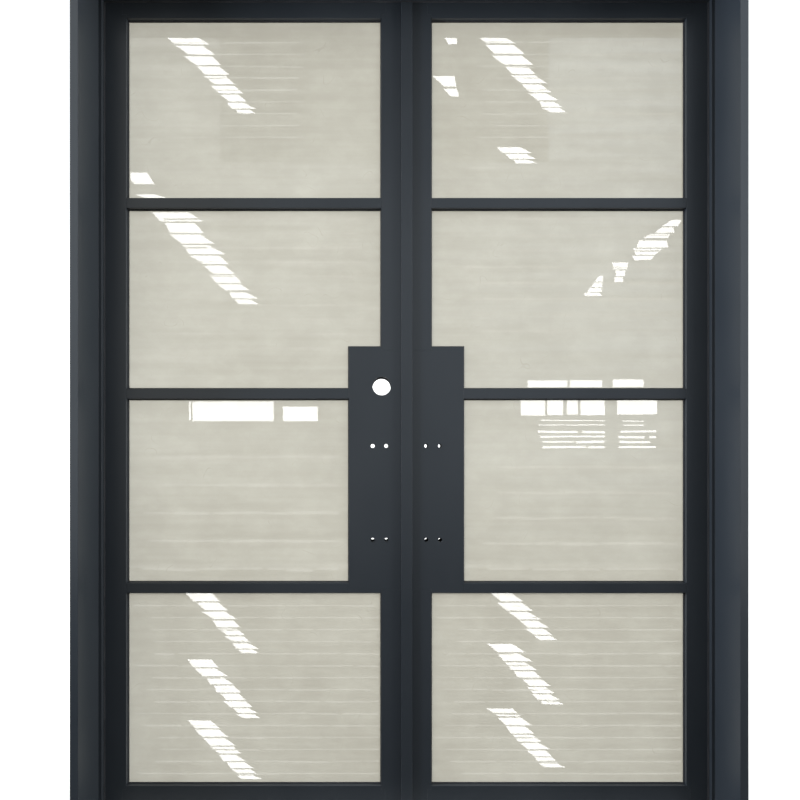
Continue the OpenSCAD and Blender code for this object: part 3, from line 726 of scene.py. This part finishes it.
def ramp(world, share, levels):
    """Colours along a share from 0 to 1, for levels that are given from -1 to 1."""
    stops = [((at + 1) / 2, level) for at, level in levels]
    return world.node("ShaderNodeValToRGB", {"stops": stops}, {0: share})


def softbox(name, place, target, size, watts, tone=WHITE):
    """A rectangular lamp turned to a target, which itself isn't seen or mirrored."""
    light = bpy.data.lights.new(name, "AREA")
    light.shape = "RECTANGLE"
    light.size, light.size_y = size
    light.energy = watts
    light.color = tone
    lamp = bpy.data.objects.new(name, light)
    bpy.context.collection.objects.link(lamp)
    lamp.location = place
    lamp.rotation_euler = (Vector(target) - Vector(place)).to_track_quat("-Z", "Y").to_euler()
    lamp.visible_camera = False
    lamp.visible_transmission = False
    lamp.visible_glossy = False
    return lamp


def lights():
    """A weak fill in front, level strips of light for the panes, an upright strip at each
    side for the steel, and a broad one over the floor behind."""
    softbox("front_fill", (0, -3.4, 1.4), (0, 0, 1.1), (4.0, 2.4), 6)
    for height, watts in PANE_LIGHTS:
        place, target = (0, -3.2, height), (0, 0, height)
        lamp = softbox(f"pane_light_{height}", place, target, LEVEL_STRIP, watts)
        lamp.light_linking.receiver_collection = panes
    for side, watts, tone in SIDE_LIGHTS:
        place, target = (2.6 * side, -0.42, 1.75), (-0.9 * side, 0, 1.5)
        lamp = softbox(f"side_{side}", place, target, UPRIGHT_STRIP, watts, tone)
        lamp.light_linking.receiver_collection = paintwork
    softbox("rear_top", (0, 2.6, 4.0), (0, 1.6, 0), (5.0, 2.4), 150)


def camera():
    """Eye-level view from in front, with the lens shifted a little off the object's middle."""
    data = bpy.data.cameras.new("camera")
    data.sensor_width = SENSOR_W
    data.lens = LENS
    data.shift_x, data.shift_y = LENS_SHIFT
    eye = bpy.data.objects.new("camera", data)
    bpy.context.collection.objects.link(eye)
    eye.location = EYE
    eye.rotation_euler = (math.pi / 2, 0, 0)
    bpy.context.scene.camera = eye


def glow(name, level, under=None):
    """A plain light of its own, the same in every direction, or another level underneath."""
    f = Finish(name)
    f.tree.nodes.remove(f.shader)
    light = f.node("ShaderNodeEmission", None, {"Color": WHITE, "Strength": level})
    if under is not None:
        other = f.node("ShaderNodeEmission", None, {"Color": WHITE, "Strength": under})
        beneath = f.node("ShaderNodeNewGeometry", None, None, "Backfacing")
        light = f.node("ShaderNodeMixShader", None, {0: beneath, 1: light, 2: other})
    f.tree.links.new(light.socket, f.tree.nodes["Material Output"].inputs["Surface"])
    f.material.cycles.emission_sampling = "NONE"
    return f.material


def only_in_gloss(card):
    """Lets a card show in mirroring faces and nowhere else."""
    card.visible_camera = False
    card.visible_diffuse = False
    card.visible_transmission = False
    card.visible_shadow = False


def cards():
    """Cards that glossy faces mirror: dim ones, so that they don't mirror the white floor
    and the lights, and bright ones at the sides for the edges. The one on the floor also
    keeps it from throwing much light up at the doors."""
    for name, (points, level, under) in CARDS.items():
        card = stage_mesh(name, points, [(0, 1, 2, 3)], glow(name, level, under))
        only_in_gloss(card)
        card.visible_diffuse = name == "floor_card"
        card.light_linking.receiver_collection = paintwork if name.startswith("side") else None


def mirrored_card(name, quads, material):
    """Light cards whose images in the glass lie at the corners (x, z) of each quad, by the
    law of mirrors: the eye's image behind the glass, the corner and the card's own corner
    lie on one line. A card hangs upright, or lies flat where that line meets the floor."""
    image = Vector((EYE[0], 2 * GLASS_Y - EYE[1], EYE[2]))
    points = []
    for x, z in sum(quads, []):
        reach = (image.y - CARD_Y) / (image.y - GLASS_Y)
        if z < image.z:
            reach = min(reach, (image.z - CARD_FLOOR) / (image.z - z))
        points.append(image + (Vector((x, GLASS_Y, z)) - image) * reach)
    faces = [tuple(range(4 * i, 4 * i + 4)) for i in range(len(quads))]
    card = stage_mesh(name, points, faces, material)
    only_in_gloss(card)
    card.light_linking.receiver_collection = panes


def skylight(top, foot, slats, random):
    """The slats of a long roof light. top and foot are its ends, as left x, right x and z.
    Slats grow shorter to the foot, each a little out of line, with a thin bar between."""
    share = 1 - (1 - np.linspace(0, 1, slats + 1)) ** SLAT_SHORTENING
    top, foot = np.array(top), np.array(foot)
    quads = []
    for first, last in zip(share[:-1], share[1:]):
        last -= SLAT_BAR * (last - first)
        a = top + (foot - top) * first
        b = top + (foot - top) * last
        width = a[1] - a[0]
        stray = random.uniform(-SLAT_STRAY, SLAT_STRAY, 4) * width
        out_left, out_right, in_left, in_right = stray
        quads.append([
            (a[0] + in_left, a[2]),
            (a[1] - 0.10 * width + in_right, a[2]),
            (b[1] + 0.08 * width + out_right, b[2]),
            (b[0] + 0.05 * width + out_left, b[2]),
        ])
    return quads


def window(left, right, low, high):
    """The corners, as x and z, of an upright lit window."""
    return [(left, high), (right, high), (right, low), (left, low)]


def level_strokes(left, right, low, high, lines, fill, random):
    """Level strokes of light, broken and uneven, that fill about a share of their field."""
    quads = []
    for z in np.linspace(low, high, lines):
        x = left + random.uniform(0, 0.12) * (right - left)
        while x < right - 0.02:
            end = min(right, x + random.uniform(0.05, 0.16))
            thick = random.uniform(0.7, 1.3) * fill * (high - low) / lines
            tilt = random.uniform(-0.3, 0.3) * thick
            quads.append([(x, z), (end, z + tilt), (end, z + tilt - thick), (x, z - thick)])
            x = end + random.uniform(0.0, 0.015)
    return quads


def reflections():
    """Roof lights and windows of the room in front, as they lie in the panes."""
    random = np.random.default_rng(11)
    quads = []
    for top, foot, slats in SKYLIGHTS:
        quads += skylight(top, foot, slats, random)
    for panel in WINDOWS:
        quads.append(window(*panel))
    for field in WET_FLOOR:
        quads += level_strokes(*field, WET_FILL, random)
    mirrored_card("roof_lights", quads, glow("roof_light", ROOF_LEVEL))
    quads = []
    for field in ROOF_RIBS:
        quads += level_strokes(*field, RIB_FILL, random)
    mirrored_card("roof_ribs", quads, glow("roof_rib", RIB_LEVEL))


# Lights and cards are linked to these: the panes, or the steel with all its fittings.
panes = bpy.data.collections.new("panes")
paintwork = bpy.data.collections.new("paintwork")
for name, node in frame["nodes"].items():
    (panes if "_glass_" in name else paintwork).objects.link(node)

finish_nodes()
fine_pieces()
backdrop(y_front=-3.6, y_back=4.2, half=9.0, height=8.0, bend=2.0)
sky()
cards()
lights()
reflections()
camera()
bpy.context.scene.view_settings.view_transform = "Standard"
